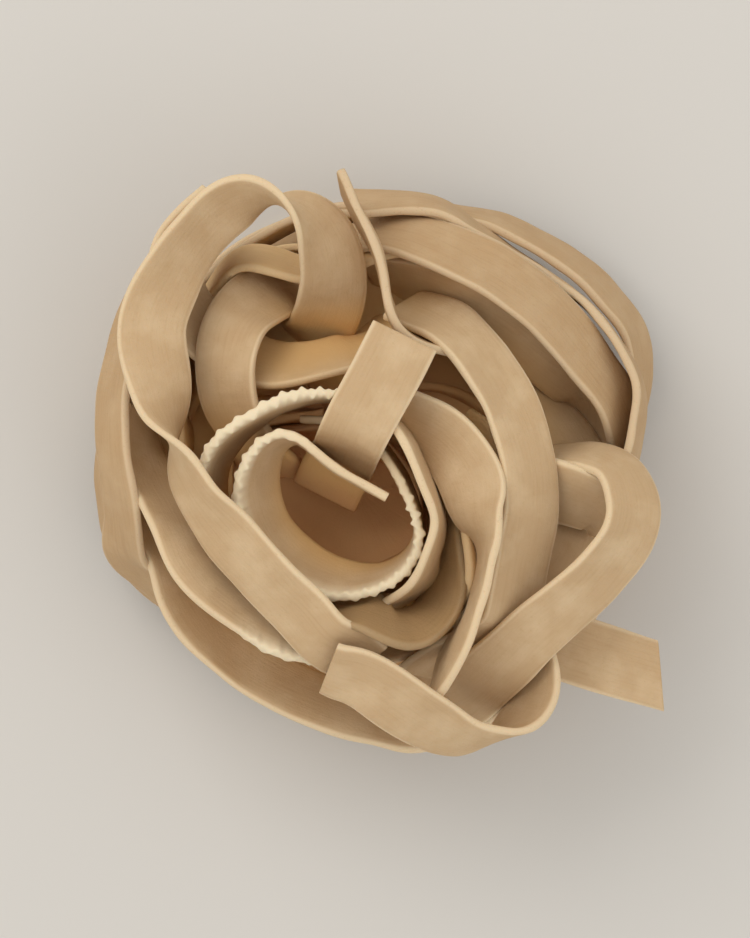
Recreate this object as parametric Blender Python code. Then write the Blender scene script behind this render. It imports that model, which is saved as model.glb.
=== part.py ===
"""A nest of dry tagliatelle: flat egg-pasta ribbons wound into one tangled coil.

The nest lies on its flat underside, and the swirl on its front faces up (+Z). It is one
fused solid: a lumpy core with a blind eye, and the ribbons that show wound over it.
Lengths are in metres. A ribbon's route is listed in millimetres and scaled as it is read.
"""

import math

import bmesh
import bpy
import numpy as np

MM = 0.001

# The ribbon: common tagliatelle, and the length of one flat piece of its bends
RIBBON_WIDTH = 8.0 * MM
RIBBON_THICKNESS = 1.1 * MM
RIBBON_STEP = 3.4 * MM

# The core: an oval plan, longest towards the crown loop, and the heights of its shoulder and top
CORE_RADIUS = 25.5 * MM
CORE_OVAL = 2.5 * MM
CORE_OVAL_ANGLE = math.radians(118)
CORE_SHOULDER = 11.0 * MM
CORE_TOP = 19.0 * MM
CORE_SIDES = 30

# The flat underside that the nest rests on
FOOT_RADIUS = 17.0 * MM

# The eye: the blind well in the middle of the swirl
EYE_CENTRE = (-1.0 * MM, -5.0 * MM)
EYE_RADIUS = 9.2 * MM
EYE_FLOOR = 9.0 * MM

# Shares of the core's radius by which its lumps rise and sink, and how many there are
LUMP_DEPTHS = ((0.050, 3, 0.4), (0.030, 5, 2.1))

PASTA_COLOUR = (0.52, 0.36, 0.21, 1.0)
PASTA_ROUGHNESS = 0.75

# Each route runs along the middle of a ribbon: x, y, z in mm, and the lean of its width from
# upright in degrees, positive towards the left of the way that it runs
ROUTES = {
    "crown_diagonal": (
        (-14.0, 16.5, 9, 50), (-9.2, 14.6, 14.5, 56), (-5.2, 16.0, 20.5, 60), (-3.6, 19.4, 25.5, 70),
        (-3.4, 23.6, 28.5, 70), (-5.2, 28.2, 30, 48), (-9.2, 30.9, 31, 4),
        (-13.2, 31.2, 31.2, -38), (-18.6, 27.2, 31, -50),
        (-22.4, 21.3, 31, -66), (-24.2, 16.0, 31.3, -78), (-23.6, 11.2, 31.5, -68), (-22.6, 5.8, 31.8, -30),
        (-21.2, 1.7, 32.2, 15), (-18.6, -3.2, 33, 36), (-15.6, -7.2, 33.6, 52), (-10.1, -13.3, 34, 53),
        (-2.3, -19.8, 31.5, 58), (2.0, -23.4, 26, 50), (4.0, -25.5, 20, 40)),
    "crown_inner": (
        (-4.6, 21.6, 8, 10), (-7.6, 21.4, 14, 30), (-10.6, 20.0, 20.5, 54), (-14.4, 17.2, 24.6, 64),
        (-15.8, 12.8, 25, 60), (-15.2, 7.6, 24, 48), (-12.6, 2.6, 21, 36), (-9.5, -1.0, 16, 20)),
    "crown_floor": (
        (-17.5, 31.5, 18, -25), (-21.5, 26.0, 19, -40), (-20.8, 19.2, 20.5, -55),
        (-15.5, 14.0, 21.6, -52), (-8.2, 12.0, 22.6, -36), (-1.5, 14.4, 22.6, -30), (3.5, 19.0, 20, -20)),
    "eye": (
        (2.9, -3.0, 30.6, 0), (-0.9, -0.6, 30.6, 0), (-4.1, 1.9, 30.6, 0), (-7.6, 4.0, 30.5, -4),
        (-10.2, 3.1, 30, -14), (-11.8, 0.2, 29.6, -30), (-12.0, -2.9, 29.2, -38), (-10.3, -7.6, 28.8, -40),
        (-6.0, -11.4, 28.6, -38), (-1.4, -13.4, 29, -30), (3.0, -12.8, 29.6, -16), (5.9, -9.8, 30, -6),
        (6.6, -6.0, 30.2, 2), (5.3, -2.4, 30.4, 6), (2.6, 1.6, 30.2, 6), (-1.0, 4.8, 29.0, 4),
        (-5.0, 5.6, 26.5, 0)),
    "eye_outer": (
        (1.0, -16.5, 24, 8), (5.0, -14.6, 27, 10), (7.8, -10.5, 29.5, 10), (8.8, -6.3, 30, 8),
        (8.4, -2.6, 30, 8), (5.5, 4.0, 30, 6), (0.0, 7.8, 29.8, 0), (-6.9, 8.1, 29.4, -6),
        (-13.1, 5.4, 28.6, -12), (-16.4, 1.8, 27.6, -18), (-17.6, -3.0, 26, -20), (-16.5, -8.5, 23.5, -20)),
    "inner_right": (
        (-5.6, -16.0, 23, -24), (-1.5, -16.6, 26, -26), (2.0, -17.0, 27.4, -28), (5.6, -18.0, 28, -30),
        (8.6, -16.2, 28, -30), (9.8, -12.6, 27.6, -28), (10.0, -9.0, 27, -24), (9.6, -4.0, 24.5, -18),
        (8.4, 2.0, 21, -12)),
    "stub": (
        (4.9, 15.2, 34.8, 90), (1.6, 8.6, 35.9, 90), (-1.2, 3.3, 35.0, 90), (-2.2, 1.4, 32.4, 90),
        (-3.0, 0.0, 27.0, 90), (-4.4, -2.4, 20.0, 90)),
    "right_bowl": (
        (8.5, -24.0, 22, -12), (11.7, -19.2, 27, -13), (13.4, -15.8, 29, -8), (14.8, -11.8, 30.3, -8),
        (15.2, -8.2, 30.8, -18), (13.6, -4.6, 31, -48), (12.6, -1.9, 31.2, -66), (11.1, 0.6, 31.2, -66),
        (8.0, 3.6, 31, -60), (5.4, 5.2, 30.6, -52), (0.0, 8.5, 27, -36), (-6.0, 10.0, 22.5, -24)),
    "right_back": (
        (7.6, -25.0, 20, 25), (12.9, -19.8, 24.4, 38), (16.9, -13.2, 26.8, 50), (19.2, -5.4, 28.0, 52),
        (19.0, 1.8, 28.2, 52), (16.6, 8.4, 27.5, 50), (11.2, 14.4, 26, 42), (4.0, 17.2, 22, 26)),
    "big_loop": (
        (-1.0, -18.0, 7, 20), (4.6, -24.6, 13, 36), (10.6, -26.6, 21.6, 54), (15.6, -23.0, 26, 60),
        (20.8, -18.2, 28, 62),
        (25.8, -14.8, 28.6, 60), (29.0, -11.3, 28.6, 58), (30.5, -8.3, 28.5, 56), (30.9, -4.7, 28.4, 58),
        (30.6, -2.2, 28.2, 62), (30.2, -0.2, 26.9, 74), (29.8, 1.0, 23.6, 84), (29.4, 1.8, 19.0, 86),
        (28.8, 2.4, 14.5, 86)),
    "loop_wall": (
        (30.5, -7.0, 19.5, -40), (28.4, -3.4, 22.8, -48), (24.8, -1.8, 24.0, -54), (20.6, -0.6, 22.6, -54),
        (16.6, 1.4, 20.5, -50), (12.0, 4.5, 18.0, -40)),
    "loop_floor": (
        (27.5, 4.0, 19.0, -55), (25.6, -3.0, 21.0, -66), (23.6, -10.0, 21.4, -66), (19.0, -16.0, 20.0, -60),
        (13.0, -20.0, 17.0, -45)),
    "lower_scoop": (
        (-1.9, -20.8, 33.2, 48), (1.0, -23.4, 33.8, 60), (4.4, -26.4, 33, 62), (8.2, -29.4, 31, 52),
        (11.8, -31.2, 28.8, 30), (15.2, -31.0, 26.6, 4), (18.0, -29.0, 24.6, -26), (19.6, -26.0, 23, -40),
        (19.6, -22.6, 21.4, -46), (17.0, -18.0, 19, -50), (12.4, -13.8, 16.5, -42)),
    "free_end": (
        (8.5, -14.0, 15.0, 75), (15.0, -17.8, 17.8, 86), (21.5, -20.0, 19.4, 90), (28.3, -22.2, 19.8, 90),
        (35.3, -24.5, 18.8, 90)),
    "left_bowl": (
        (-26.2, 6.5, 21, -20), (-25.0, -0.5, 23.5, -35), (-21.9, -5.6, 24.6, -42), (-16.3, -13.5, 25.2, -45),
        (-12.4, -16.3, 24.8, -46), (-7.0, -18.6, 24, -46), (0.0, -19.8, 21.5, -42), (8.0, -19.0, 17.5, -32)),
    "bottom_rim": (
        (-29.6, 10.0, 15.0, -12), (-28.2, -0.5, 16.0, -20), (-23.8, -11.0, 17, -34), (-17.4, -19.6, 17.8, -46),
        (-10.0, -24.8, 18.2, -50), (-1.2, -28.4, 18.0, -46), (7.0, -29.0, 15.5, -30), (14.5, -26.0, 12, -15),
        (19.0, -20.0, 9, 0), (20.0, -12.0, 8, 0)),
    "left_outer": (
        (-14.5, 29.5, 21.0, 8), (-22.5, 25.0, 22.8, 12), (-27.8, 17.0, 23.8, 16), (-29.6, 7.0, 23.4, 20),
        (-27.5, -5.0, 20.0, 24), (-24.5, -12.5, 14.5, 20), (-19.5, -19.5, 9.5, 12)),
    "edge_strip": (
        (-2.2, 33.2, 23.5, 4), (-0.3, 29.1, 25, 4), (1.6, 25.3, 26, 2), (2.9, 21.5, 26, 0),
        (4.8, 18.0, 25.6, -3), (9.0, 15.4, 24.5, -8), (14.0, 13.0, 22.6, -12), (18.5, 8.8, 19.5, -10)),
    "far_shoulder": (
        (30.6, -8.0, 12.0, 8), (31.2, 2.0, 14.5, 14), (28.0, 12.0, 18.0, 26), (20.4, 20.6, 21.0, 36),
        (11.2, 25.8, 21.6, 36), (3.0, 28.0, 19.0, 26), (-3.0, 27.0, 14.5, 14)),
    "far_bowl": (
        (24.0, -12.4, 9.5, -10), (26.0, -2.0, 13, -20), (24.0, 8.4, 18.5, -30), (17.4, 16.2, 22.4, -36),
        (9.6, 20.8, 21.4, -32), (1.0, 23.0, 18, -24)),
}

# The turns round the nest's side: centre, radius and height in mm, lean, start and sweep in
# degrees, and the phase of the turn's waves
SIDE_TURNS = (
    (2.2, 1.4, 28.0, 10.6, 8, 20, 340, 0.3),
    (0.5, 0.5, 27.0, 10.4, -12, 140, 320, 2.9),
    (1.5, 1.0, 29.6, 18.0, 14, -75, 200, 2.6),
)
TURN_KEYS = 11


def natural_spline(keys, step):
    """Reads a natural cubic spline through the keys at equal steps of the length between keys."""
    keys = np.asarray(keys, float)
    lengths = np.linalg.norm(np.diff(keys[:, :3], axis=0), axis=1)
    knots = np.concatenate([[0.0], np.cumsum(lengths)])
    last = len(keys) - 1
    system = np.zeros((last + 1, last + 1))
    bends = np.zeros_like(keys)
    system[0, 0] = 1.0
    system[last, last] = 1.0
    for i in range(1, last):
        system[i, i - 1:i + 2] = lengths[i - 1], 2 * (lengths[i - 1] + lengths[i]), lengths[i]
        bends[i] = 6 * ((keys[i + 1] - keys[i]) / lengths[i] - (keys[i] - keys[i - 1]) / lengths[i - 1])
    curvature = np.linalg.solve(system, bends)
    reads = np.linspace(0.0, knots[-1], max(3, round(knots[-1] / step) + 1))
    span = np.clip(np.searchsorted(knots, reads, side="right") - 1, 0, last - 1)
    before = ((knots[span + 1] - reads) / lengths[span])[:, None]
    after = 1.0 - before
    bend = (before ** 3 - before) * curvature[span] + (after ** 3 - after) * curvature[span + 1]
    return before * keys[span] + after * keys[span + 1] + bend * lengths[span][:, None] ** 2 / 6


def side_turn(centre_x, centre_y, radius, height, lean, start, sweep, phase):
    """Keys of one turn round the side: a circle whose radius, height and lean wave as it goes."""
    angle = np.radians(np.linspace(start, start + sweep, TURN_KEYS))
    reach = radius * (1 + 0.06 * np.sin(2 * angle + phase) + 0.035 * np.sin(3 * angle + 2.1 * phase))
    level = height + 2.0 * np.sin(angle + 1.9 * phase) + np.sin(2 * angle + phase)
    roll = lean + 14 * np.sin(2 * angle + 1.3 * phase)
    return np.column_stack([centre_x + reach * np.cos(angle), centre_y + reach * np.sin(angle), level, roll])


def ribbon_frame(path):
    """Points along a ribbon, with the direction of its width and of its face at each."""
    points = path[:, :3]
    along = np.gradient(points, axis=0)
    along /= np.linalg.norm(along, axis=1, keepdims=True)
    left = np.column_stack([-along[:, 1], along[:, 0], np.zeros(len(along))])
    left /= np.linalg.norm(left, axis=1, keepdims=True)
    lean = np.radians(path[:, 3])[:, None]
    width = np.cos(lean) * np.array([0.0, 0.0, 1.0]) + np.sin(lean) * left
    width -= (width * along).sum(axis=1, keepdims=True) * along
    width /= np.linalg.norm(width, axis=1, keepdims=True)
    return points, width, np.cross(along, width)


def add_object(name, mesh_data, collection):
    mesh = bpy.data.meshes.new(name)
    bmesh.ops.recalc_face_normals(mesh_data, faces=mesh_data.faces)
    mesh_data.to_mesh(mesh)
    mesh_data.free()
    thing = bpy.data.objects.new(name, mesh)
    collection.objects.link(thing)
    return thing


def skin(mesh_data, rings):
    """Joins each ring of points to the next with quads, and returns the rings' vertices."""
    rows = [[mesh_data.verts.new(point) for point in ring] for ring in rings]
    for row, following in zip(rows, rows[1:]):
        for i in range(len(row)):
            j = (i + 1) % len(row)
            mesh_data.faces.new((row[i], row[j], following[j], following[i]))
    return rows


def add_ribbon(name, keys, collection):
    """A flat strip of rectangular section swept along its route, closed at both ends."""
    points, width, face = ribbon_frame(natural_spline(keys, RIBBON_STEP / MM))
    corners = ((-1, -1), (1, -1), (1, 1), (-1, 1))
    section = [points * MM + across * width * RIBBON_WIDTH / 2 + out * face * RIBBON_THICKNESS / 2
               for across, out in corners]
    ribbon = bmesh.new()
    rows = skin(ribbon, np.stack(section, axis=1))
    ribbon.faces.new(rows[0])
    ribbon.faces.new(rows[-1])
    return add_object(name, ribbon, collection)


def core_radius(angle):
    """Radius of the core's oval plan with its lumps."""
    oval = CORE_RADIUS + CORE_OVAL * math.cos(2 * (angle - CORE_OVAL_ANGLE))
    lumps = sum(depth * math.sin(count * angle + phase) for depth, count, phase in LUMP_DEPTHS)
    return oval * (1 + lumps)


def core_ring(share, height):
    """A ring round the core's side, as a share of its plan's radius."""
    angles = [2 * math.pi * i / CORE_SIDES for i in range(CORE_SIDES)]
    return [(share * core_radius(a) * math.cos(a), share * core_radius(a) * math.sin(a), height)
            for a in angles]


def eye_ring(radius, height):
    """A round ring about the eye's own centre."""
    angles = [2 * math.pi * i / CORE_SIDES for i in range(CORE_SIDES)]
    return [(EYE_CENTRE[0] + radius * math.cos(a), EYE_CENTRE[1] + radius * math.sin(a), height)
            for a in angles]


def add_core(collection):
    """The lumpy body: a flat foot, a round side and shoulder, and the eye sunk in its top."""
    foot_share = FOOT_RADIUS / CORE_RADIUS
    rise = CORE_TOP - CORE_SHOULDER
    rings = [
        core_ring(foot_share, 0.0),
        core_ring(0.88, 0.20 * CORE_SHOULDER),
        core_ring(0.98, 0.60 * CORE_SHOULDER),
        core_ring(1.00, CORE_SHOULDER),
        core_ring(0.95, CORE_SHOULDER + 0.45 * rise),
        core_ring(0.83, CORE_SHOULDER + 0.80 * rise),
        core_ring(0.66, CORE_TOP),
        eye_ring(1.20 * EYE_RADIUS, CORE_TOP),
        eye_ring(EYE_RADIUS, CORE_TOP - 0.20 * EYE_RADIUS),
        eye_ring(0.88 * EYE_RADIUS, EYE_FLOOR + 0.15 * EYE_RADIUS),
        eye_ring(0.72 * EYE_RADIUS, EYE_FLOOR),
    ]
    core = bmesh.new()
    rows = skin(core, rings)
    core.faces.new(rows[0])
    core.faces.new(rows[-1])
    return add_object("pasta_nest", core, collection)


def fuse(target, tools):
    """Unions a collection of solids into the target, and removes them once it is applied.

    The exact solver leaves open edges where so many ribbons cross, so this is the manifold one.
    """
    union = target.modifiers.new("fuse", "BOOLEAN")
    union.operation = "UNION"
    union.operand_type = "COLLECTION"
    union.collection = tools
    union.solver = "MANIFOLD"
    fused = bpy.data.meshes.new_from_object(target.evaluated_get(bpy.context.evaluated_depsgraph_get()))
    target.modifiers.remove(union)
    target.data = fused
    for tool in list(tools.objects):
        bpy.data.objects.remove(tool)
    bpy.data.collections.remove(tools)


def keep_largest_shell(thing):
    """Keeps the outer shell alone, which fills sealed hollows and drops loose scraps.

    The faces are cut into triangles first, because a face with a pinched outline hides a scrap.
    """
    body = bmesh.new()
    body.from_mesh(thing.data)
    bmesh.ops.triangulate(body, faces=body.faces)
    shells = []
    waiting = set(body.faces)
    while waiting:
        shell = {waiting.pop()}
        edge_of_shell = list(shell)
        while edge_of_shell:
            neighbours = {face for edge in edge_of_shell.pop().edges for face in edge.link_faces}
            fresh = neighbours & waiting
            waiting -= fresh
            shell |= fresh
            edge_of_shell.extend(fresh)
        shells.append(shell)
    largest = max(shells, key=lambda shell: sum(face.calc_area() for face in shell))
    extra = [face for face in body.faces if face not in largest]
    bmesh.ops.delete(body, geom=extra, context="FACES")
    body.to_mesh(thing.data)
    body.free()


def pasta_material():
    material = bpy.data.materials.new("dry_egg_pasta")
    material.use_nodes = True
    shader = material.node_tree.nodes["Principled BSDF"]
    shader.inputs["Base Color"].default_value = PASTA_COLOUR
    shader.inputs["Roughness"].default_value = PASTA_ROUGHNESS
    shader.inputs["Metallic"].default_value = 0.0
    return material


def main():
    for thing in list(bpy.data.objects):
        bpy.data.objects.remove(thing)

    nest = add_core(bpy.context.scene.collection)
    ribbons = bpy.data.collections.new("ribbons")
    bpy.context.scene.collection.children.link(ribbons)
    for name, keys in ROUTES.items():
        add_ribbon(name, keys, ribbons)
    for number, turn in enumerate(SIDE_TURNS):
        add_ribbon(f"side_turn_{number}", side_turn(*turn), ribbons)

    fuse(nest, ribbons)
    keep_largest_shell(nest)
    nest.data.materials.clear()
    nest.data.materials.append(pasta_material())


main()
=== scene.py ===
"""A nest of dry tagliatelle: flat egg-pasta ribbons wound into a coil and dried.

The ribbons follow the routes of the solid that they replace. They are first settled against
each other, as wet dough settles, and then swept with the section of a cut sheet.
"""

import math

import bpy
import numpy as np
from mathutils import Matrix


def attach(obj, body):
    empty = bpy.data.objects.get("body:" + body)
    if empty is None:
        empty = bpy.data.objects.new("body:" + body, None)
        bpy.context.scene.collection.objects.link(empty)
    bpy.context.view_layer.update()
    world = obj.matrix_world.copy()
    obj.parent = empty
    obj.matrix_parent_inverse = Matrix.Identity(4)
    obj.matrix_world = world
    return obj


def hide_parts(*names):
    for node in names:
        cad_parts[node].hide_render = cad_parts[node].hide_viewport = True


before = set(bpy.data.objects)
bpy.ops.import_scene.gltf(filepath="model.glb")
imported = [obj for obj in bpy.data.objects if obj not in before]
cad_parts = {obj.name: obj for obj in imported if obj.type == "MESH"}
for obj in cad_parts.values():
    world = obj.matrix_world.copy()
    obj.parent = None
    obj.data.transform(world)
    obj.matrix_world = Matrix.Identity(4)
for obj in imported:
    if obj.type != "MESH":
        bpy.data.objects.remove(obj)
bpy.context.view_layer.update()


# The winding
# Tagliatelle are cut 8 mm wide from a rolled sheet of egg dough, then swirled by hand into a
# coil while still soft. Each route gives x, y, z in mm and the lean of the ribbon's width.

MM = 0.001
RIBBON_WIDTH = 8.0

crown_routes = {
    "crown_diagonal": (
        (-14.0, 16.5, 9, 50), (-9.2, 14.6, 14.5, 56), (-5.2, 16.0, 20.5, 60), (-3.6, 19.4, 25.5, 70),
        (-3.4, 23.6, 28.5, 70), (-5.2, 28.2, 30, 48), (-9.2, 30.9, 31, 4),
        (-13.2, 31.2, 31.2, -38), (-18.6, 27.2, 31, -50),
        (-22.4, 21.3, 31, -66), (-24.2, 16.0, 31.3, -78), (-23.6, 11.2, 31.5, -68), (-22.6, 5.8, 31.8, -30),
        (-21.2, 1.7, 32.2, 15), (-18.6, -3.2, 33, 36), (-15.6, -7.2, 33.6, 52), (-10.1, -13.3, 34, 53),
        (-2.8, -19.6, 31.0, 54), (0.0, -22.2, 29.0, 54)),
    "crown_inner": (
        (-4.6, 21.6, 8, 10), (-7.6, 21.4, 14, 30), (-10.6, 20.0, 20.5, 54), (-14.4, 17.2, 24.6, 64),
        (-15.8, 12.8, 25, 60), (-15.2, 7.6, 24, 48), (-12.6, 2.6, 21, 36), (-9.5, -1.0, 16, 20)),
    "crown_floor": (
        (-17.5, 31.5, 18, -25), (-21.5, 26.0, 19, -40), (-20.8, 19.2, 20.5, -55),
        (-15.5, 14.0, 21.6, -52), (-8.2, 12.0, 22.6, -36), (-1.5, 14.4, 22.6, -30), (3.5, 19.0, 20, -20)),
}
eye_routes = {
    "eye": (
        (2.9, -3.0, 30.6, 0), (-0.9, -0.6, 30.6, 0), (-4.1, 1.9, 30.6, 0), (-7.6, 4.0, 30.5, -4),
        (-10.2, 3.1, 30, -14), (-11.8, 0.2, 29.6, -30), (-12.0, -2.9, 29.2, -38), (-10.3, -7.6, 28.8, -40),
        (-6.0, -11.4, 28.6, -38), (-1.4, -13.4, 29, -30), (3.0, -12.8, 29.6, -16), (5.9, -9.8, 30, -6),
        (6.6, -6.0, 30.2, 2), (5.3, -2.4, 30.4, 6), (2.6, 1.6, 30.2, 6), (-1.0, 4.8, 29.0, 4),
        (-5.0, 5.6, 26.5, 0)),
    "eye_outer": (
        (1.0, -16.5, 23, 8), (5.0, -14.6, 26.6, 10), (7.8, -10.5, 29.5, 10), (8.8, -6.3, 30, 8),
        (8.4, -2.6, 30, 8), (5.5, 4.0, 30, 6), (0.0, 7.8, 29.8, 0), (-6.9, 8.1, 29.4, -6),
        (-13.1, 5.4, 28.6, -12), (-16.4, 1.8, 27.6, -18), (-17.6, -3.0, 26, -20), (-16.5, -8.5, 23.5, -20)),
    "inner_right": (
        (-5.6, -15.6, 20, -20), (-1.5, -16.2, 24, -24), (2.0, -16.9, 26.6, -28), (5.6, -17.8, 27.8, -30),
        (8.6, -16.2, 28, -30), (9.8, -12.6, 27.6, -28), (10.0, -9.0, 27, -24), (9.6, -4.0, 24.5, -18),
        (8.4, 2.0, 21, -12)),
    "stub": (
        (4.9, 15.2, 34.8, 90), (1.6, 8.6, 35.9, 90), (-1.2, 3.3, 35.0, 90), (-2.2, 1.4, 32.4, 90),
        (-3.0, 0.0, 27.0, 90), (-4.4, -2.4, 20.0, 90)),
}
right_routes = {
    "right_bowl": (
        (8.5, -24.0, 22, -12), (11.7, -19.2, 27, -13), (12.9, -15.8, 29, -8), (14.0, -11.8, 30.3, -8),
        (14.3, -8.2, 30.8, -18), (13.2, -4.8, 31, -48), (12.6, -1.9, 31.2, -66), (11.1, 0.6, 31.2, -66),
        (8.0, 3.6, 31, -60), (5.4, 5.2, 30.6, -52), (0.0, 8.5, 27, -36), (-6.0, 10.0, 22.5, -24)),
    "right_back": (
        (7.6, -25.0, 20, 25), (12.9, -19.8, 24.4, 38), (16.9, -13.2, 26.8, 50), (19.2, -5.4, 28.0, 52),
        (19.0, 1.8, 28.2, 52), (16.6, 8.4, 27.5, 50), (11.2, 14.4, 26, 42), (4.0, 17.2, 22, 26)),
    "big_loop": (
        (5.4, -26.6, 15.5, 42), (10.6, -26.6, 21.6, 54), (15.6, -23.0, 26, 60),
        (20.3, -18.4, 28, 60), (24.8, -14.8, 28.6, 54), (28.0, -11.3, 28.6, 50), (30.2, -8.2, 28.6, 50),
        (31.1, -5.2, 28.2, 50), (30.7, -2.6, 27.2, 42), (29.2, -0.4, 26.0, 30), (26.6, 0.7, 24.6, 20),
        (23.4, 1.2, 22.6, 14), (20.2, 1.6, 20.6, 10), (17.0, 2.2, 19.2, 8)),
    "loop_wall": (
        (29.6, -8.0, 18.0, -40), (28.0, -4.4, 20.8, -50), (24.6, -2.4, 22.0, -56), (20.6, -1.4, 21.4, -56),
        (16.6, 0.4, 19.6, -50), (12.0, 4.0, 17.4, -40)),
    "loop_floor": (
        (15.5, 14.5, 14.0, -30), (21.5, 9.5, 16.5, -42), (25.0, 3.0, 18.0, -54), (25.2, -3.5, 20.0, -64),
        (23.4, -10.0, 21.0, -66), (19.0, -16.0, 20.0, -60), (13.0, -20.0, 17.0, -45)),
}
lower_routes = {
    "lower_scoop": (
        (-3.0, -20.9, 33.9, 48), (0.6, -23.8, 33.9, 58), (4.2, -26.7, 33, 62), (8.2, -29.5, 31, 52),
        (11.8, -31.2, 28.8, 30), (15.2, -31.0, 26.6, 4), (18.0, -29.0, 24.6, -26), (19.6, -26.0, 23, -40),
        (19.6, -22.6, 21.4, -46), (17.0, -18.0, 19, -50), (12.4, -13.8, 16.5, -42)),
    "free_end": (
        (8.5, -14.0, 15.0, 75), (15.0, -17.8, 17.8, 86), (21.5, -20.0, 19.4, 90), (28.3, -22.2, 19.8, 90),
        (34.9, -24.2, 18.8, 90)),
    "left_bowl": (
        (-26.2, 6.5, 21, -20), (-25.0, -0.5, 23.5, -35), (-21.9, -5.6, 24.6, -42), (-16.3, -13.5, 25.2, -45),
        (-12.4, -16.3, 24.8, -46), (-7.0, -18.6, 24, -46), (0.0, -19.8, 21.5, -42), (8.0, -19.0, 17.5, -32)),
    "bottom_rim": (
        (-27.0, 18.0, 13.5, -10), (-29.2, 10.0, 15.0, -16), (-28.0, -0.5, 16.0, -20), (-23.8, -11.0, 17, -34),
        (-17.4, -19.6, 17.8, -46), (-10.0, -24.8, 18.2, -50), (-1.2, -28.4, 18.0, -46),
        (7.0, -29.4, 15.5, -32), (14.8, -27.6, 12.5, -26), (20.5, -21.5, 9, -10), (21.5, -12.0, 8, 0)),
}
outer_routes = {
    "left_outer": (
        (-14.5, 29.5, 21.0, 8), (-22.5, 25.0, 22.8, 12), (-27.2, 17.0, 23.8, 20), (-28.8, 7.0, 23.4, 26),
        (-26.8, -5.0, 20.0, 26), (-24.5, -12.5, 14.5, 20), (-19.5, -19.5, 9.5, 12)),
    "edge_strip": (
        (-2.2, 33.2, 23.5, 4), (-0.3, 29.1, 25, 4), (1.6, 25.3, 26, 2), (2.9, 21.5, 26, 0),
        (4.8, 18.0, 25.6, -3), (9.0, 15.4, 24.5, -8), (14.0, 13.0, 22.6, -12), (18.5, 8.8, 19.5, -10)),
    "far_shoulder": (
        (29.6, -9.0, 10.0, 8), (30.8, 1.0, 12.5, 16), (27.4, 11.0, 18.0, 40), (19.6, 20.0, 22.6, 50),
        (11.0, 25.2, 23.4, 46), (3.0, 27.6, 20.0, 30), (-3.0, 26.6, 15.0, 14)),
    "far_bowl": (
        (24.0, -12.4, 9.5, -10), (26.4, -2.0, 12, -34), (25.2, 7.6, 17.0, -58), (18.6, 15.8, 21.6, -50),
        (9.6, 20.8, 21.4, -32), (1.0, 23.0, 18, -24)),
}

# Turns round the nest's side and inside it: centre, radius, height, lean, start, sweep and phase.
# The lean, start and sweep are in degrees
SIDE_TURNS = (
    (0.5, 0.0, 24.6, 5.0, -42, 200, 350, 1.7),
    (2.2, 1.4, 28.0, 10.6, 8, -8, 340, 0.3),
    (0.5, 0.5, 27.0, 10.4, -12, 140, 320, 2.9),
    (1.5, 1.0, 29.2, 17.0, 16, -15, 113, 2.6),
)
INNER_TURNS = (
    (0.0, 0.0, 22.0, 9.6, -16, 80, 345, 4.0),
    (0.0, 0.0, 23.6, 17.4, 8, 250, 340, 3.5),
    (-1.0, -2.0, 17.0, 6.4, 14, 130, 350, 0.9),
    (-1.0, -3.0, 17.2, 15.0, -10, 10, 340, 3.3),
    (-1.5, -3.5, 16.4, 22.6, 8, 100, 300, 1.1),
    (-2.5, -4.5, 10.6, 8.2, 6, 60, 340, 2.2),
    (-2.4, -5.0, 10.2, 17.0, -8, 200, 350, 1.2),
    (1.0, 0.0, 25.4, 9.0, -40, -40, 120, 1.1),
    (0.0, 0.0, 24.2, 15.0, 40, 120, 90, 0.5),
)
TURN_KEYS = 11
# How much a turn's radius swells and dents, as shares of it, and how far it rises and rolls
TURN_SWELL = 0.06
TURN_DENT = 0.035
TURN_RISE = 2.0
TURN_ROLL = 14
FLAT_TURN_KEYS = 7
FLAT_TURN_LEAN = 84.0

# Turns that lie flat under the nest: centre, radius, start, sweep and height
FLAT_TURNS = (
    (-2.0, 2.0, 15.5, -30, 235, 0.9),
    (6.0, -8.0, 13.0, 120, 200, 1.4),
    (2.0, 6.0, 21.5, 60, 150, 0.9),
    (-4.0, -12.0, 9.0, 150, 190, 1.4),
)


def waved_turn(x, y, radius, height, lean, start, sweep, phase):
    """A circle whose radius, height and lean each carry two slow sine waves as it goes round."""
    angle = np.radians(np.linspace(start, start + sweep, TURN_KEYS))
    swell = TURN_SWELL * np.sin(2 * angle + phase)
    dent = TURN_DENT * np.sin(3 * angle + 2.1 * phase)
    reach = radius * (1 + swell + dent)
    level = height + TURN_RISE * np.sin(angle + 1.9 * phase) + np.sin(2 * angle + phase)
    roll = lean + TURN_ROLL * np.sin(2 * angle + 1.3 * phase)
    return np.column_stack([x + reach * np.cos(angle), y + reach * np.sin(angle), level, roll])


def flat_turn(x, y, radius, start, sweep, height):
    """A plain arc on the ground, with the ribbon's face turned down."""
    angle = np.radians(np.linspace(start, start + sweep, FLAT_TURN_KEYS))
    flat = np.ones_like(angle)
    return np.column_stack([x + radius * np.cos(angle), y + radius * np.sin(angle),
                            height * flat, FLAT_TURN_LEAN * flat])


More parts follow.
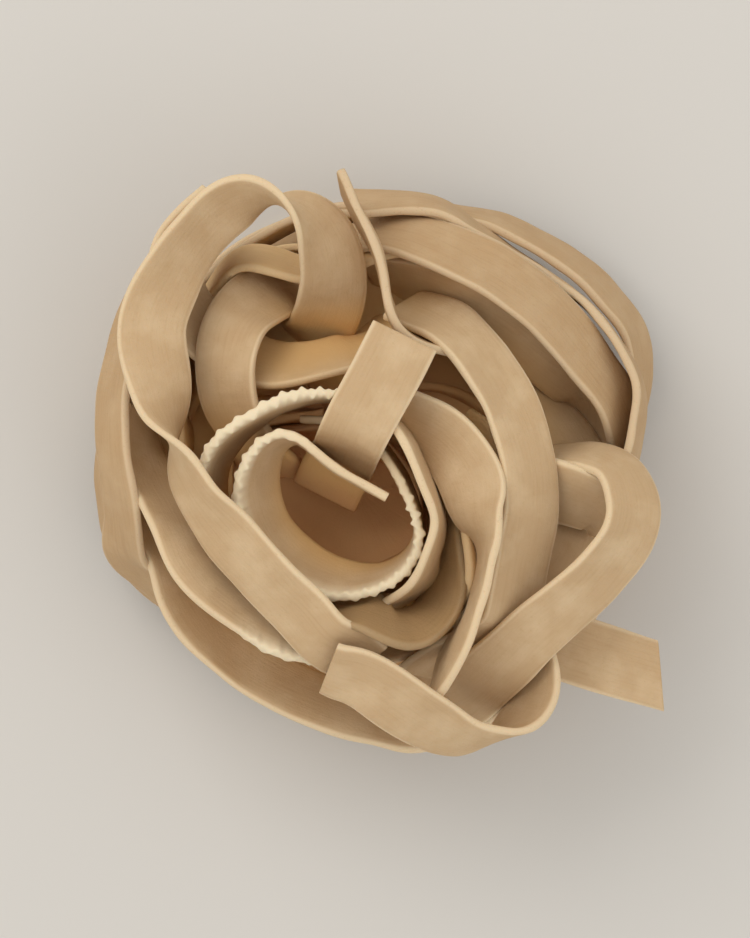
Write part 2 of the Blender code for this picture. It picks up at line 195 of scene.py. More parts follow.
def natural_spline(keys, step):
    """The curve of least bend through the keys, a cubic between each two, read at equal steps."""
    keys = np.asarray(keys, float)
    lengths = np.linalg.norm(np.diff(keys[:, :3], axis=0), axis=1)
    knots = np.concatenate([[0.0], np.cumsum(lengths)])
    last = len(keys) - 1
    system = np.zeros((last + 1, last + 1))
    bends = np.zeros_like(keys)
    system[0, 0] = 1.0
    system[last, last] = 1.0
    inner = np.arange(1, last)
    system[inner, inner - 1] = lengths[:-1]
    system[inner, inner] = 2 * (lengths[:-1] + lengths[1:])
    system[inner, inner + 1] = lengths[1:]
    slopes = np.diff(keys, axis=0) / lengths[:, None]
    bends[1:-1] = 6 * np.diff(slopes, axis=0)
    curvature = np.linalg.solve(system, bends)
    reads = np.linspace(0.0, knots[-1], max(3, round(knots[-1] / step) + 1))
    span = np.clip(np.searchsorted(knots, reads, side="right") - 1, 0, last - 1)
    before = ((knots[span + 1] - reads) / lengths[span])[:, None]
    after = 1.0 - before
    bend = (before ** 3 - before) * curvature[span] + (after ** 3 - after) * curvature[span + 1]
    return before * keys[span] + after * keys[span + 1] + bend * lengths[span][:, None] ** 2 / 6


SETTLE_STEP = 1.3
SETTLE_ROUNDS = 150
SETTLE_REACH = 9.6
NEIGHBOUR_ROUNDS = 8
SAME_STRAND_GAP = 12
NEST_HEIGHT = 37.0
# Half of a ribbon's box at one step: across it, out of its face and along it
HALF_SIZES = (RIBBON_WIDTH / 2, 0.58, 0.7)
# What share of an overlap is undone each round. The first rounds move in longer, smoother steps
PUSH_SHARE = 0.6
EARLY_ROUNDS = 0.7 * SETTLE_ROUNDS
EARLY_STEP, EARLY_PASSES = 1.6, 4
LATE_STEP, LATE_PASSES = 1.1, 1
LAST_PASSES = 3
# Edges closer to parallel than this sine part no boxes, and ribbons that cross at less than this
# angle count as side by side
PARALLEL_SINE = 0.05
BESIDE_ANGLE = math.radians(25)
# How easily a ribbon gives way in x, y and z, and what share of its shift it keeps each round
SHOWN_FREEDOM = (0.08, 0.08, 0.6)
HIDDEN_FREEDOM = (1.0, 1.0, 1.0)
SHOWN_HOLD = (0.92, 0.92, 0.997)
HIDDEN_HOLD = (0.999, 0.999, 0.999)

windings = {**crown_routes, **eye_routes, **right_routes, **lower_routes, **outer_routes}
shown = set(windings)
for number, turn in enumerate(SIDE_TURNS):
    windings[f"side_{number}"] = waved_turn(*turn)
for number, turn in enumerate(INNER_TURNS):
    windings[f"inner_{number}"] = waved_turn(*turn)
for number, turn in enumerate(FLAT_TURNS):
    windings[f"flat_{number}"] = flat_turn(*turn)

names = list(windings)
paths = [natural_spline(windings[name], SETTLE_STEP) for name in names]
starts = np.cumsum([0] + [len(path) for path in paths])
strand = np.repeat(np.arange(len(paths)), np.diff(starts))
rest = np.concatenate(paths)


def directions(points, lean, bounds):
    """Unit vectors across a ribbon, out of its face and along it, at each point of each strand."""
    along = np.empty_like(points)
    for begin, end in zip(bounds, bounds[1:]):
        along[begin:end] = np.gradient(points[begin:end], axis=0)
    along /= np.linalg.norm(along, axis=1, keepdims=True)
    left = np.column_stack([-along[:, 1], along[:, 0], np.zeros(len(along))])
    left /= np.maximum(np.linalg.norm(left, axis=1, keepdims=True), 1e-6)
    angle = np.radians(lean)[:, None]
    across = np.cos(angle) * np.array([0.0, 0.0, 1.0]) + np.sin(angle) * left
    across -= (across * along).sum(axis=1, keepdims=True) * along
    across /= np.linalg.norm(across, axis=1, keepdims=True)
    return across, np.cross(along, across), along


def smoothed(values, bounds, passes):
    """Each value becomes half itself and a quarter of each neighbour, strand by strand."""
    values = values.copy()
    for begin, end in zip(bounds, bounds[1:]):
        row = values[begin:end]
        for _ in range(passes):
            padded = np.concatenate([row[:1], row, row[-1:]])
            row = 0.25 * padded[:-2] + 0.5 * padded[1:-1] + 0.25 * padded[2:]
        values[begin:end] = row
    return values


def depth_along(line, gap, axes, first, second):
    """How far two boxes overlap along a line: their half sizes seen along it, less their distance."""
    reach = sum(half * np.abs((axis[side] * line).sum(axis=1))
                for side in (first, second) for half, axis in zip(HALF_SIZES, axes))
    return reach - np.abs((gap * line).sum(axis=1))


def overlapping(points, axes, first, second):
    """Keeps the pairs of boxes that no line parts, and gives each its push line and its depth.

    Ribbons that cross are pushed along the common normal of their lengths. Ribbons that run
    side by side are pushed along the face or edge line that parts them soonest.
    """
    for axis in (axes[1], axes[0], axes[2]):
        for side in (0, 1):
            pair = (first, second)
            kept = depth_along(axis[pair[side]], points[first] - points[second], axes, first, second) > 0
            first, second = first[kept], second[kept]
    for own in axes:
        for other in axes:
            line = np.cross(own[first], other[second])
            size = np.linalg.norm(line, axis=1, keepdims=True)
            depth = depth_along(line / np.maximum(size, 1e-9), points[first] - points[second],
                                axes, first, second)
            kept = (depth > 0) | (size[:, 0] < PARALLEL_SINE)
            first, second = first[kept], second[kept]
    gap = points[first] - points[second]
    line = np.cross(axes[2][first], axes[2][second])
    sine = np.linalg.norm(line, axis=1)
    line /= np.maximum(sine, 1e-6)[:, None]
    depth = depth_along(line, gap, axes, first, second)
    beside = sine < math.sin(BESIDE_ANGLE)
    depth[beside] = np.inf
    for axis in (axes[1], axes[0]):
        for side in (first, second):
            trial = depth_along(axis[side], gap, axes, first, second)
            nearer = beside & (trial < depth)
            depth[nearer] = trial[nearer]
            line[nearer] = axis[side][nearer]
    sign = np.where((gap * line).sum(axis=1) < 0, -1.0, 1.0)
    return first, second, line * sign[:, None], depth


def settle(points, lean):
    """Pushes overlapping ribbons apart, a share of the overlap each round.

    The push is spread along each strand, which also springs back towards its own route. The
    ribbons that show keep their place in plan and mostly rise or sink.
    """
    fixed = np.array([name in shown for name in names])[strand]
    freedom = np.where(fixed[:, None], SHOWN_FREEDOM, HIDDEN_FREEDOM)
    hold = np.where(fixed[:, None], SHOWN_HOLD, HIDDEN_HOLD)
    home = points.copy()
    for turn in range(SETTLE_ROUNDS):
        if turn % NEIGHBOUR_ROUNDS == 0:
            distance = ((points[:, None] - points[None]) ** 2).sum(axis=2)
            first, second = np.nonzero(np.triu(distance < SETTLE_REACH ** 2, 1))
            apart = (strand[first] != strand[second]) | (second - first > SAME_STRAND_GAP)
            first, second = first[apart], second[apart]
        axes = directions(points, lean, starts)
        one, two, line, depth = overlapping(points, axes, first, second)
        share = freedom[one] / (freedom[one] + freedom[two])
        push = line * (PUSH_SHARE * depth ** 2)[:, None]
        move = np.zeros_like(points)
        weight = np.zeros(len(points))
        np.add.at(move, one, push * share)
        np.add.at(move, two, -push * (1 - share))
        np.add.at(weight, one, depth)
        np.add.at(weight, two, depth)
        move /= np.maximum(weight, 1e-6)[:, None]
        early = turn < EARLY_ROUNDS
        passes = EARLY_PASSES if early else LATE_PASSES
        points = points + smoothed(move, starts, passes) * (EARLY_STEP if early else LATE_STEP)
        points = home + smoothed(points - home, starts, 1) * hold
        reach = HALF_SIZES[0] * np.abs(axes[0][:, 2]) + HALF_SIZES[1] * np.abs(axes[1][:, 2])
        points[:, 2] = np.clip(points[:, 2], reach, NEST_HEIGHT - reach)
    return home + smoothed(points - home, starts, LAST_PASSES)


settled = np.column_stack([settle(rest[:, :3].copy(), rest[:, 3]), rest[:, 3]])
routes = {name: settled[starts[i]:starts[i + 1]] for i, name in enumerate(names)}


# The crown
# The top ribbons: a loop thrown up at the far left, twisting over into the broad diagonal
# band, with two shorter bends under it. Plain matte dough, dusted with flour when it was cut.

COLUMN = 0.3
CRIMPED_COLUMN = 0.16
# Half of the section, from one rim to the other: across and out of the face, in mm
FACE_PROFILE = ((-4.0, 0.24), (-3.82, 0.46), (-3.2, 0.54), (-1.9, 0.55), (-0.6, 0.55),
                (0.6, 0.55), (1.9, 0.55), (3.2, 0.54), (3.82, 0.46), (4.0, 0.24))
CRIMP_PITCH = 1.05
CRIMP_DEPTH = 0.15
CRIMP_BEAD = 0.16
crimped = {"eye": (0.13, 0.84), "eye_outer": (0.42, 0.92), "left_bowl": (0.52, 0.86)}
# A cut that isn't square: by how many mm the upper rim stops short and the lower one runs on
slanted = {"free_end": 1.6}
SLANT_REACH = 6.0
# How far the section wanders along a ribbon, and the length in mm over which each wave repeats
WIDTH_SWING, WIDTH_PITCH = 0.025, 31.0
CUP_SWING, CUP_PITCH = 0.30, 47.0
UPPER_SWING, UPPER_PITCH = 0.18, 19.0
LOWER_SWING, LOWER_PITCH = 0.18, 21.0
THICK_SWING, THICK_PITCH = 0.06, 9.0
END_EASE = 6.0
PHASE_STEP = 1.3
# Where across the half width the crimp starts, what share of it it takes in, and how soon it
# comes and goes along the ribbon
CRIMP_START = 0.68
CRIMP_SHARE = 0.32
CRIMP_ONSET = 12
CRIMP_WANDER, CRIMP_WANDER_PITCH = 0.18, 12.0
# Where across the half width the chalky finish starts, and how wide its soft edge is
CHALK_START = 0.74
CHALK_EDGE = 0.1
# How fast the places along a ribbon grow, for each mm, and how far apart two ribbons' places lie
MARK_SCALE = 0.1
MARK_GAP = 3.7
# The rounded shell round the nest, inside which the dough is painted golden for glow and then
# brown for shade: its reach from the axis, its middle, half its height, its power
SHELL_REACH = 33.0
SHELL_MIDDLE = 16.0
SHELL_HALF = 19.0
SHELL_POWER = 2.6


def waves(length, pitch, phase):
    """A slow wandering value: three sines of unlike pitch added together, within about 1."""
    turns = 2 * math.pi * length / pitch
    return (np.sin(turns + phase) + 0.6 * np.sin(1.71 * turns + 2.3 * phase)
            + 0.4 * np.sin(2.93 * turns + 4.1 * phase)) / 1.6


def ribbon_surface(name):
    """Sweeps the section of a cut sheet along a settled route.

    At each column the section is scaled a little in width, cupped by a parabola across it,
    waved at both rims, and crimped at its upper rim on the ribbons that are crimped. The free
    end's cut is slanted by moving its columns along the ribbon.
    """
    phase = PHASE_STEP * names.index(name)
    path = natural_spline(routes[name], CRIMPED_COLUMN if name in crimped else COLUMN)
    across, out, along = directions(path[:, :3], path[:, 3], (0, len(path)))
    length = np.concatenate([[0.0], np.cumsum(np.linalg.norm(np.diff(path[:, :3], axis=0), axis=1))])
    face = np.array(FACE_PROFILE)
    section = np.concatenate([face, face[::-1] * (1, -1)])
    ease = np.clip(np.minimum(length, length[-1] - length) / END_EASE, 0.0, 1.0)[:, None]
    wide = section[None, :, 0] * (1 + WIDTH_SWING * waves(length, WIDTH_PITCH, phase))[:, None]
    share = wide / (RIBBON_WIDTH / 2)
    cup = CUP_SWING * waves(length, CUP_PITCH, phase + 1)[:, None] * (1 - share ** 2)
    upper = UPPER_SWING * waves(length, UPPER_PITCH, phase + 2)[:, None] * np.clip(share, 0, 1) ** 2
    lower = LOWER_SWING * waves(length, LOWER_PITCH, phase + 3)[:, None] * np.clip(-share, 0, 1) ** 2
    shift = (cup + upper + lower) * ease
    thick = section[None, :, 1] * (1 + THICK_SWING * waves(length, THICK_PITCH, phase + 4))[:, None]
    beaded = 0.0 * share
    if name in crimped:
        begin, end = crimped[name]
        travel = length / length[-1]
        there = np.clip(CRIMP_ONSET * np.minimum(travel - begin, end - travel), 0, 1)
        turn = math.pi * (length + CRIMP_WANDER * waves(length, CRIMP_WANDER_PITCH, phase)) / CRIMP_PITCH
        rim = np.clip((share - CRIMP_START) / CRIMP_SHARE, 0, 1) ** 1.5
        beaded = there[:, None] * np.clip((share - CHALK_START) / CHALK_EDGE, 0, 1)
        shift = shift + CRIMP_DEPTH * (there * np.sin(turn))[:, None] * rim
        wide = wide + CRIMP_BEAD * (there * np.cos(turn) ** 2)[:, None] * rim
        thick = thick + CRIMP_BEAD * (there * (2 * np.sin(turn) ** 2 - 0.6))[:, None] * rim * np.sign(thick)
    points = path[:, None, :3] + wide[..., None] * across[:, None]
    points += (thick + shift)[..., None] * out[:, None]
    if name in slanted:
        near_end = np.clip(1 - (length[-1] - length) / SLANT_REACH, 0, 1)[:, None]
        points -= (slanted[name] * near_end * share)[..., None] * along[:, None]
    travelled = MARK_SCALE * length[:, None] + MARK_GAP * phase
    marks = np.stack(np.broadcast_arrays(travelled, 0.5 + 0.5 * share, beaded), axis=2)
    return points, marks


def painted_glow_and_shade_depth(points):
    """How deep a point lies in the nest: 0 on a rounded shell round it, rising to 1 in its middle.

    The shell is where the distance from the axis and the height from the middle, each as a share
    of its reach and raised to the shell's power, add up to 1. The dough's colour follows this depth,
    painted golden for glow and then brown for shade.
    """
    aside = np.hypot(points[..., 0], points[..., 1]) / SHELL_REACH
    above = np.abs(points[..., 2] - SHELL_MIDDLE) / SHELL_HALF
    return 1.0 - (aside ** SHELL_POWER + above ** SHELL_POWER) ** (1 / SHELL_POWER)


def dress_mesh(mesh, points, marks, smooth):
    """Puts a ribbon's marks, the depth in the nest and the shading on a mesh.

    The marks are the places along and across the ribbon, and how strongly its rim is crimped.
    """
    corner = np.empty(len(mesh.loops), dtype=np.int32)
    mesh.loops.foreach_get("vertex_index", corner)
    mesh.uv_layers.new(name="ribbon").data.foreach_set("uv", marks[corner, :2].ravel())
    mesh.attributes.new("beaded", "FLOAT", "POINT").data.foreach_set("value", marks[:, 2].copy())
    # The depth in the nest, which the dough's painted glow and painted shade follow
    mesh.attributes.new("painted_glow_and_shade_depth", "FLOAT", "POINT").data.foreach_set("value", painted_glow_and_shade_depth(points))
    mesh.polygons.foreach_set("use_smooth", smooth)
    mesh.update()
    thing = bpy.data.objects.new(mesh.name, mesh)
    bpy.context.scene.collection.objects.link(thing)
    return thing


def ribbon_mesh(piece, members):
    """One mesh of several ribbons: quads between neighbour sections, and a fan over each cut end.

    Each face lists its corners so that it points out of the ribbon.
    """
    points, marks, quads, fans, first = [], [], [], [], 0
    for name in members:
        rings, uv = ribbon_surface(name)
        columns, corners = rings.shape[:2]
        grid = first + np.arange(columns * corners).reshape(columns, corners)
        turned = np.roll(grid, -1, axis=1)
        quads.append(np.stack([grid[:-1], grid[1:], turned[1:], turned[:-1]], axis=2).reshape(-1, 4))
        hubs = first + columns * corners + np.arange(2)
        fans.append(np.stack([turned[0], np.full(corners, hubs[0]), grid[0]], axis=1))
        fans.append(np.stack([grid[-1], np.full(corners, hubs[1]), turned[-1]], axis=1))
        points += [rings.reshape(-1, 3), rings[[0, -1]].mean(axis=1)]
        marks += [uv.reshape(-1, 3), uv[[0, -1]].mean(axis=1)]
        first += columns * corners + 2
    sides = np.concatenate(quads)
    ends = np.concatenate(fans)
    mesh = bpy.data.meshes.new(piece)
    places = np.concatenate(points)
    mesh.from_pydata((places * MM).tolist(), [], sides.tolist() + ends.tolist())
    smooth = np.arange(len(mesh.polygons)) < len(sides)
    return dress_mesh(mesh, places, np.concatenate(marks), smooth)


def add_node(tree, kind, **values):
    """Adds a shader node and sets its properties, and those of its sockets given by number."""
    node = tree.nodes.new(kind)
    for key, value in values.items():
        if key.startswith("input_"):
            node.inputs[int(key[6:])].default_value = value
        else:
            setattr(node, key, value)
    return node


def dough_group():
    """Colour and height of dried dough, from the ribbon's own length and width.

    Fine streaks run along the ribbon where the rollers drew it. Faint ripples cross it, pale
    flour lies in patches and on both rims, where it is also a painted highlight, and small pits and
    specks are strewn over all. Deep in the nest the colour is painted golden for glow, then brown
    for shade.
    """
    tree = bpy.data.node_groups.new("dried_dough", "ShaderNodeTree")
    # The fourth and fifth colours are painted glow and painted shade deep in the nest, and the flour colour
    # also paints a highlight on the rims
    for name, kind, value in (("Face", "NodeSocketColor", (0.5, 0.34, 0.19, 1)),
                              ("Deep", "NodeSocketColor", (0.4, 0.24, 0.11, 1)),
                              ("Flour and Highlight", "NodeSocketColor", (0.72, 0.56, 0.38, 1)),
                              ("Painted Glow", "NodeSocketColor", (0.68, 0.43, 0.18, 1)),
                              ("Painted Shade", "NodeSocketColor", (0.70, 0.40, 0.18, 1)),
                              ("Dusting", "NodeSocketFloat", 0.5)):
        socket = tree.interface.new_socket(name, in_out="INPUT", socket_type=kind)
        socket.default_value = value
    tree.interface.new_socket("Color", in_out="OUTPUT", socket_type="NodeSocketColor")
    tree.interface.new_socket("Height", in_out="OUTPUT", socket_type="NodeSocketFloat")
    tree.interface.new_socket("Roughness", in_out="OUTPUT", socket_type="NodeSocketFloat")
    link = tree.links.new
    given = add_node(tree, "NodeGroupInput")
    result = add_node(tree, "NodeGroupOutput")
    uv = add_node(tree, "ShaderNodeUVMap", uv_map="ribbon")
    solid = add_node(tree, "ShaderNodeTexCoord")

    drawn = add_node(tree, "ShaderNodeMapping")
    drawn.inputs["Scale"].default_value = (1.6, 26.0, 1.0)
    streak = add_node(tree, "ShaderNodeTexNoise", noise_dimensions="2D")
    streak.inputs["Scale"].default_value = 1.0
    streak.inputs["Detail"].default_value = 5.0
    streak.inputs["Roughness"].default_value = 0.62
    link(uv.outputs[0], drawn.inputs[0])
    link(drawn.outputs[0], streak.inputs["Vector"])

    crossed = add_node(tree, "ShaderNodeMapping")
    crossed.inputs["Scale"].default_value = (9.0, 0.9, 1.0)
    ripple = add_node(tree, "ShaderNodeTexNoise", noise_dimensions="2D")
    ripple.inputs["Scale"].default_value = 1.0
    ripple.inputs["Detail"].default_value = 2.0
    link(uv.outputs[0], crossed.inputs[0])
    link(crossed.outputs[0], ripple.inputs["Vector"])

    grit = add_node(tree, "ShaderNodeTexNoise")
    grit.inputs["Scale"].default_value = 2600.0
    grit.inputs["Detail"].default_value = 4.0
    grit.inputs["Roughness"].default_value = 0.7
    patch = add_node(tree, "ShaderNodeTexNoise")
    patch.inputs["Scale"].default_value = 210.0
    patch.inputs["Detail"].default_value = 4.0
    link(solid.outputs["Object"], grit.inputs["Vector"])
    link(solid.outputs["Object"], patch.inputs["Vector"])

    parts = add_node(tree, "ShaderNodeSeparateXYZ")
    centred = add_node(tree, "ShaderNodeMath", operation="SUBTRACT", input_1=0.5)
    sided = add_node(tree, "ShaderNodeMath", operation="ABSOLUTE")
    rim = add_node(tree, "ShaderNodeMapRange", interpolation_type="SMOOTHSTEP")
    rim.inputs["From Min"].default_value = 0.43
    rim.inputs["From Max"].default_value = 0.492
    link(uv.outputs[0], parts.inputs[0])
    link(parts.outputs["Y"], centred.inputs[0])
    link(centred.outputs[0], sided.inputs[0])
    link(sided.outputs[0], rim.inputs["Value"])

    toned = add_node(tree, "ShaderNodeMapRange")
    toned.inputs["From Min"].default_value = 0.25
    toned.inputs["From Max"].default_value = 0.55
    toned.inputs["To Min"].default_value = 0.62
    link(streak.outputs["Fac"], toned.inputs["Value"])
    body = add_node(tree, "ShaderNodeMix", data_type="RGBA")
    link(toned.outputs[0], body.inputs["Factor"])
    link(given.outputs["Deep"], body.inputs["A"])
    link(given.outputs["Face"], body.inputs["B"])

    powder = add_node(tree, "ShaderNodeMapRange")
    powder.inputs["From Min"].default_value = 0.44
    powder.inputs["From Max"].default_value = 0.72
    link(patch.outputs["Fac"], powder.inputs["Value"])
    speckled = add_node(tree, "ShaderNodeMath", operation="MULTIPLY")
    link(powder.outputs[0], speckled.inputs[0])
    link(given.outputs["Dusting"], speckled.inputs[1])
    # Both rims take the flour colour, partly as flour and partly as a painted highlight
    flour_and_rim_highlight = add_node(tree, "ShaderNodeMath", operation="MAXIMUM")
    rim_flour_and_highlight = add_node(tree, "ShaderNodeMath", operation="MULTIPLY", input_1=0.95)
    link(rim.outputs[0], rim_flour_and_highlight.inputs[0])
    link(speckled.outputs[0], flour_and_rim_highlight.inputs[0])
    link(rim_flour_and_highlight.outputs[0], flour_and_rim_highlight.inputs[1])
    crimp = add_node(tree, "ShaderNodeAttribute", attribute_name="beaded")
    flour_and_highlight_mix = add_node(tree, "ShaderNodeMix", data_type="RGBA")
    link(flour_and_rim_highlight.outputs[0], flour_and_highlight_mix.inputs["Factor"])
    link(body.outputs["Result"], flour_and_highlight_mix.inputs["A"])
    link(given.outputs["Flour and Highlight"], flour_and_highlight_mix.inputs["B"])

    pitted = add_node(tree, "ShaderNodeMapRange")
    pitted.inputs["From Min"].default_value = 0.30
    pitted.inputs["From Max"].default_value = 0.42
    pitted.inputs["To Min"].default_value = 0.35
    pitted.inputs["To Max"].default_value = 0.0
    link(grit.outputs["Fac"], pitted.inputs["Value"])
    specked = add_node(tree, "ShaderNodeMix", data_type="RGBA")
    link(pitted.outputs[0], specked.inputs["Factor"])
    link(flour_and_highlight_mix.outputs["Result"], specked.inputs["A"])
    link(given.outputs["Deep"], specked.inputs["B"])

    # Deep in the nest the colour is painted golden for glow, then brown for shade
    depth = add_node(tree, "ShaderNodeAttribute", attribute_name="painted_glow_and_shade_depth")
    painted_glow_share = add_node(tree, "ShaderNodeMapRange", interpolation_type="SMOOTHSTEP")
    painted_glow_share.inputs["From Min"].default_value = 0.20
    painted_glow_share.inputs["From Max"].default_value = 0.46
    painted_shade_share = add_node(tree, "ShaderNodeMapRange", interpolation_type="SMOOTHSTEP")
    painted_shade_share.inputs["From Min"].default_value = 0.42
    painted_shade_share.inputs["From Max"].default_value = 0.70
    painted_glow_mix = add_node(tree, "ShaderNodeMix", data_type="RGBA")
    painted_shade_mix = add_node(tree, "ShaderNodeMix", data_type="RGBA")
    link(depth.outputs["Fac"], painted_glow_share.inputs["Value"])
    link(depth.outputs["Fac"], painted_shade_share.inputs["Value"])
    link(painted_glow_share.outputs[0], painted_glow_mix.inputs["Factor"])
    link(specked.outputs["Result"], painted_glow_mix.inputs["A"])
    link(given.outputs["Painted Glow"], painted_glow_mix.inputs["B"])
    link(painted_shade_share.outputs[0], painted_shade_mix.inputs["Factor"])
    link(painted_glow_mix.outputs["Result"], painted_shade_mix.inputs["A"])
    link(given.outputs["Painted Shade"], painted_shade_mix.inputs["B"])
    chalky = add_node(tree, "ShaderNodeMix", data_type="RGBA")
    chalky.inputs["B"].default_value = (0.800, 0.670, 0.460, 1.0)
    link(crimp.outputs["Fac"], chalky.inputs["Factor"])
    link(painted_shade_mix.outputs["Result"], chalky.inputs["A"])
    link(chalky.outputs["Result"], result.inputs["Color"])

    lines = add_node(tree, "ShaderNodeMath", operation="MULTIPLY_ADD", input_1=0.30)
    bumps = add_node(tree, "ShaderNodeMath", operation="MULTIPLY_ADD", input_1=0.40)
    grains = add_node(tree, "ShaderNodeMath", operation="MULTIPLY", input_1=0.45)
    link(grit.outputs["Fac"], grains.inputs[0])
    link(ripple.outputs["Fac"], bumps.inputs[0])
    link(grains.outputs[0], bumps.inputs[2])
    link(streak.outputs["Fac"], lines.inputs[0])
    link(bumps.outputs[0], lines.inputs[2])
    link(lines.outputs[0], result.inputs["Height"])

    matte = add_node(tree, "ShaderNodeMapRange")
    matte.inputs["To Min"].default_value = 0.62
    matte.inputs["To Max"].default_value = 0.88
    link(patch.outputs["Fac"], matte.inputs["Value"])
    link(matte.outputs[0], result.inputs["Roughness"])
    return tree


dried_dough = dough_group()


def dough_material(name, face, deep, flour_and_highlight, dusting, glow=0.12):
    """A dough finish from three colours: the face, its streaks and pits, and flour and a painted rim
    highlight.
    """
    material = bpy.data.materials.new(name)
    material.use_nodes = True
    tree = material.node_tree
    shader = tree.nodes["Principled BSDF"]
    dough = add_node(tree, "ShaderNodeGroup", node_tree=dried_dough)
    dough.inputs["Face"].default_value = (*face, 1.0)
    dough.inputs["Deep"].default_value = (*deep, 1.0)
    dough.inputs["Flour and Highlight"].default_value = (*flour_and_highlight, 1.0)
    dough.inputs["Dusting"].default_value = dusting
    bump = add_node(tree, "ShaderNodeBump")
    bump.inputs["Strength"].default_value = 0.55
    bump.inputs["Distance"].default_value = 0.00025
    tree.links.new(dough.outputs["Height"], bump.inputs["Height"])
    tree.links.new(bump.outputs["Normal"], shader.inputs["Normal"])
    tree.links.new(dough.outputs["Color"], shader.inputs["Base Color"])
    tree.links.new(dough.outputs["Roughness"], shader.inputs["Roughness"])
    shader.inputs["Specular IOR Level"].default_value = 0.25
    shader.inputs["Subsurface Weight"].default_value = glow
    shader.inputs["Subsurface Scale"].default_value = 0.0012
    shader.inputs["Subsurface Radius"].default_value = (1.0, 0.55, 0.25)
    return material


def place(piece, finish):
    """Gives a piece its finish, and hangs it on the nest in place of the plain solid."""
    piece.data.materials.append(finish)
    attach(piece, "root")
    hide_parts("pasta_nest")


top_dough = dough_material("floury_top_dough", (0.545, 0.374, 0.208), (0.470, 0.305, 0.150),
                           (0.720, 0.555, 0.350), 0.45)
place(ribbon_mesh("crown_ribbons", list(crown_routes)), top_dough)


# The eye
# The middle of the swirl: two rings on edge with crimped rims, a leaning band beside them,
# and the flat cut stub that folds over into the well.

place(ribbon_mesh("eye_ribbons", list(eye_routes)), top_dough)


# The right side
# The broad bowl beside the eye, the band behind it, the big loop that turns back at the right,
# and the two bends seen inside the loop. The same dough as the crown.

place(ribbon_mesh("right_ribbons", list(right_routes)), top_dough)


# The lower edge
# The scoop that hooks round the bottom, the long bowl and rim at the lower left, and the
# free end that sticks out at the right, cut a little aslant.

place(ribbon_mesh("lower_ribbons", list(lower_routes)), top_dough)


# The shoulders
# Ribbons that close the nest behind the crown and round its far side, lying half in shadow.
# Their dough is painted darker than the crown's for that shade.

painted_shade_dough = dough_material("painted_shade_shoulder_dough", (0.500, 0.330, 0.175), (0.400, 0.245, 0.115),
                             (0.640, 0.480, 0.300), 0.30)
place(ribbon_mesh("shoulder_ribbons", list(outer_routes)), painted_shade_dough)


# The side turns
# Turns of the coil round the nest's side, that hold it together, and a short one at the upper
# right. The same dough as the shoulders, painted darker for shade.

place(ribbon_mesh("side_ribbons", [name for name in names if name.startswith("side_")]), painted_shade_dough)


# The inside
# Turns buried in the coil that show only through its gaps. Less light reaches them, and their
# dough is painted a deeper, more golden colour for that shade and for the warm light that shines
# through the ribbons round them.

inner_dough = dough_material("painted_glow_inner_dough", (0.640, 0.420, 0.200), (0.520, 0.320, 0.140),
                             (0.680, 0.490, 0.270), 0.20)
place(ribbon_mesh("inner_ribbons", [name for name in names if name.startswith("inner_")]), inner_dough)


# The underside
# Ribbons that dried flat on the tray, which the nest rests on. They are wound with the others
# and stuck to the turns above them.

# The same dough as the shoulders, painted darker for shade
place(ribbon_mesh("tray_ribbons", [name for name in names if name.startswith("flat_")]), painted_shade_dough)


# The heart
# Dough packed so tightly in the middle of the coil that its turns can't be told apart. One
# lump with folds round it, hollowed under the eye.

HEART_CENTRE = (-1.0, -2.0)
HEART_RADIUS = 24.0
HEART_OVAL = 2.5
HEART_OVAL_ANGLE = math.radians(118)
HEART_LOW = 2.2
HEART_HIGH = 18.0
HEART_WELL = 9.0
HEART_WELL_RADIUS = 7.0
HEART_CORNERS = 96
HEART_RINGS = 40
# How far short of each pole the lump's first and last ring lie, as a share of the way between them
HEART_POLE = 0.0005
HEART_FULLNESS = 0.45
HEART_FOLD = 0.05
HEART_MARKS_ROUND = 6
HEART_MARKS_UP = 4


def heart_surface():
    """A rounded lump, flat below, with folds like stacked ribbons round it and a dip on top."""
    turn = np.linspace(0, 2 * math.pi, HEART_CORNERS, endpoint=False)[None, :]
    rise = np.linspace(HEART_POLE, 1 - HEART_POLE, HEART_RINGS)[:, None]
    belly = np.sin(math.pi * rise) ** HEART_FULLNESS
    folds = 1 + HEART_FOLD * np.sin(26 * rise + 2 * turn) + HEART_FOLD * np.sin(3 * turn + 6 * rise)
    oval = HEART_RADIUS + HEART_OVAL * np.cos(2 * (turn - HEART_OVAL_ANGLE))
    radius = oval * belly * folds
    level = HEART_LOW + (HEART_HIGH - HEART_LOW) * (1 - np.cos(math.pi * rise)) / 2 + 0 * turn
    dip = HEART_WELL * np.exp(-(radius / HEART_WELL_RADIUS) ** 2) * np.clip(2 * rise - 1, 0, 1)
    points = np.stack([radius * np.cos(turn) + HEART_CENTRE[0], radius * np.sin(turn) + HEART_CENTRE[1],
                       level - dip], axis=2)
    return points, turn, rise


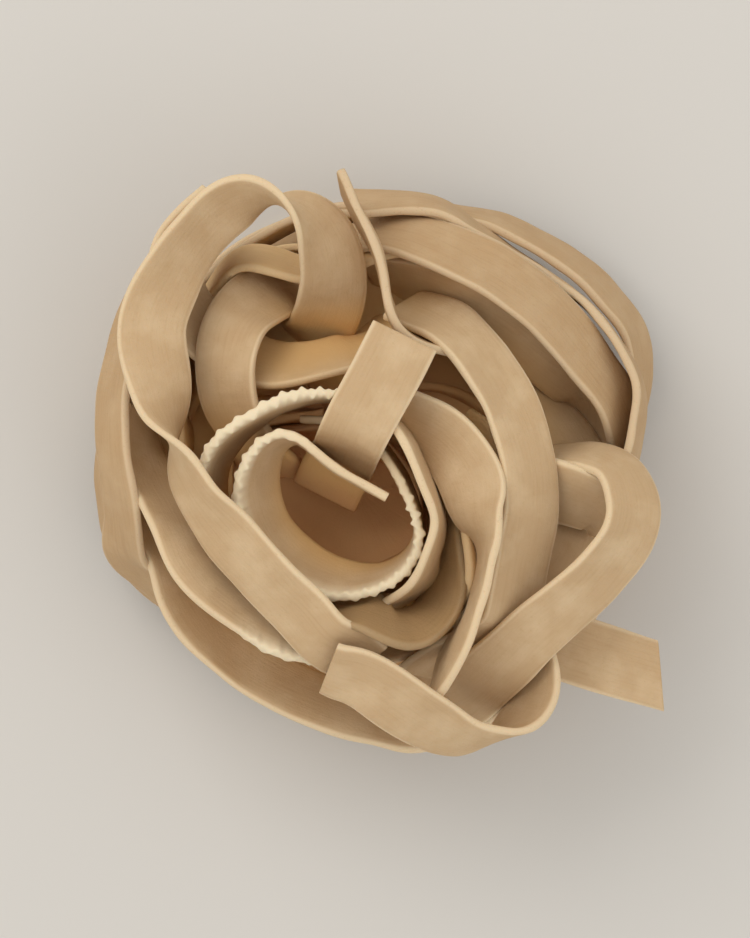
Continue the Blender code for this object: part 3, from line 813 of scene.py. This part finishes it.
def heart_mesh():
    """The lump's rings joined by quads, with a fan of triangles over each pole."""
    points, turn, rise = heart_surface()
    rows, corners = points.shape[:2]
    grid = np.arange(rows * corners).reshape(rows, corners)
    turned = np.roll(grid, -1, axis=1)
    quads = np.stack([grid[:-1], turned[:-1], turned[1:], grid[1:]], axis=2).reshape(-1, 4)
    hubs = rows * corners + np.arange(2)
    fans = np.concatenate([np.stack([turned[0], grid[0], np.full(corners, hubs[0])], axis=1),
                           np.stack([grid[-1], turned[-1], np.full(corners, hubs[1])], axis=1)])
    mesh = bpy.data.meshes.new("heart")
    places = np.concatenate([points.reshape(-1, 3), points[[0, -1]].mean(axis=1)])
    mesh.from_pydata((places * MM).tolist(), [], quads.tolist() + fans.tolist())
    around, height = np.broadcast_arrays(turn / math.pi * HEART_MARKS_ROUND, rise * HEART_MARKS_UP)
    marks = np.stack([around, height, 0 * height], axis=2).reshape(-1, 3)
    marks = np.concatenate([marks, np.zeros((2, 3))])
    return dress_mesh(mesh, places, marks, np.ones(len(mesh.polygons), dtype=bool))


# The heart's dough is painted a redder brown for the warm shade seen through the gaps
heart_dough = dough_material("painted_shade_heart_dough", (0.600, 0.330, 0.150), (0.480, 0.240, 0.100),
                             (0.650, 0.400, 0.200), 0.15)
place(heart_mesh(), heart_dough)


# The table
# A plain pale matte floor, which is not part of the nest and carries it only in the picture.

bpy.ops.mesh.primitive_plane_add(size=3.0, location=(0, 0, 0))
floor = bpy.context.object
floor.name = "floor"
floor_paint = bpy.data.materials.new("pale_floor")
floor_paint.use_nodes = True
floor_shader = floor_paint.node_tree.nodes["Principled BSDF"]
floor_shader.inputs["Base Color"].default_value = (0.62, 0.595, 0.555, 1.0)
floor_shader.inputs["Roughness"].default_value = 0.9
floor.data.materials.append(floor_paint)


# The studio
# A long lens straight above the nest, one large soft window light from the upper left, a
# weaker one from the lower right, and an even pale sky.

world = bpy.data.worlds.new("studio")
bpy.context.scene.world = world
world.use_nodes = True
world.node_tree.nodes["Background"].inputs["Color"].default_value = (1.0, 0.985, 0.96, 1.0)
world.node_tree.nodes["Background"].inputs["Strength"].default_value = 0.84


def add_window(name, spot, size, power, colour):
    """A square soft light at a spot, turned to face the nest."""
    light = bpy.data.lights.new(name, "AREA")
    light.size = size
    light.energy = power
    light.color = colour
    lamp = bpy.data.objects.new(name, light)
    lamp.location = spot
    away = np.array(spot) - (0.0, 0.0, 0.02)
    lamp.rotation_euler = (math.atan2(math.hypot(away[0], away[1]), away[2]), 0.0,
                           math.atan2(away[1], away[0]) + math.pi / 2)
    bpy.context.scene.collection.objects.link(lamp)


add_window("window", (-0.30, 0.34, 0.50), 0.45, 1.45, (1.0, 0.97, 0.93))
add_window("fill", (0.40, -0.30, 0.45), 0.60, 0.5, (0.97, 0.98, 1.0))

# The width of the picture at the height of the nest's top ribbons, and the lens that shows it
FRAME_WIDTH = 0.0865
TOP_HEIGHT = 0.030
FRAME_MIDDLE = 0.0015
SENSOR_WIDTH = 36.0
FOCAL_LENGTH = 300.0
camera_data = bpy.data.cameras.new("camera")
camera_data.sensor_fit = "HORIZONTAL"
camera_data.sensor_width = SENSOR_WIDTH
camera_data.lens = FOCAL_LENGTH
camera_data.clip_start = 0.01
camera = bpy.data.objects.new("camera", camera_data)
camera.location = (FRAME_MIDDLE, 0.0, TOP_HEIGHT + FRAME_WIDTH / SENSOR_WIDTH * FOCAL_LENGTH)
bpy.context.scene.collection.objects.link(camera)
bpy.context.scene.camera = camera
bpy.context.scene.view_settings.view_transform = "Standard"
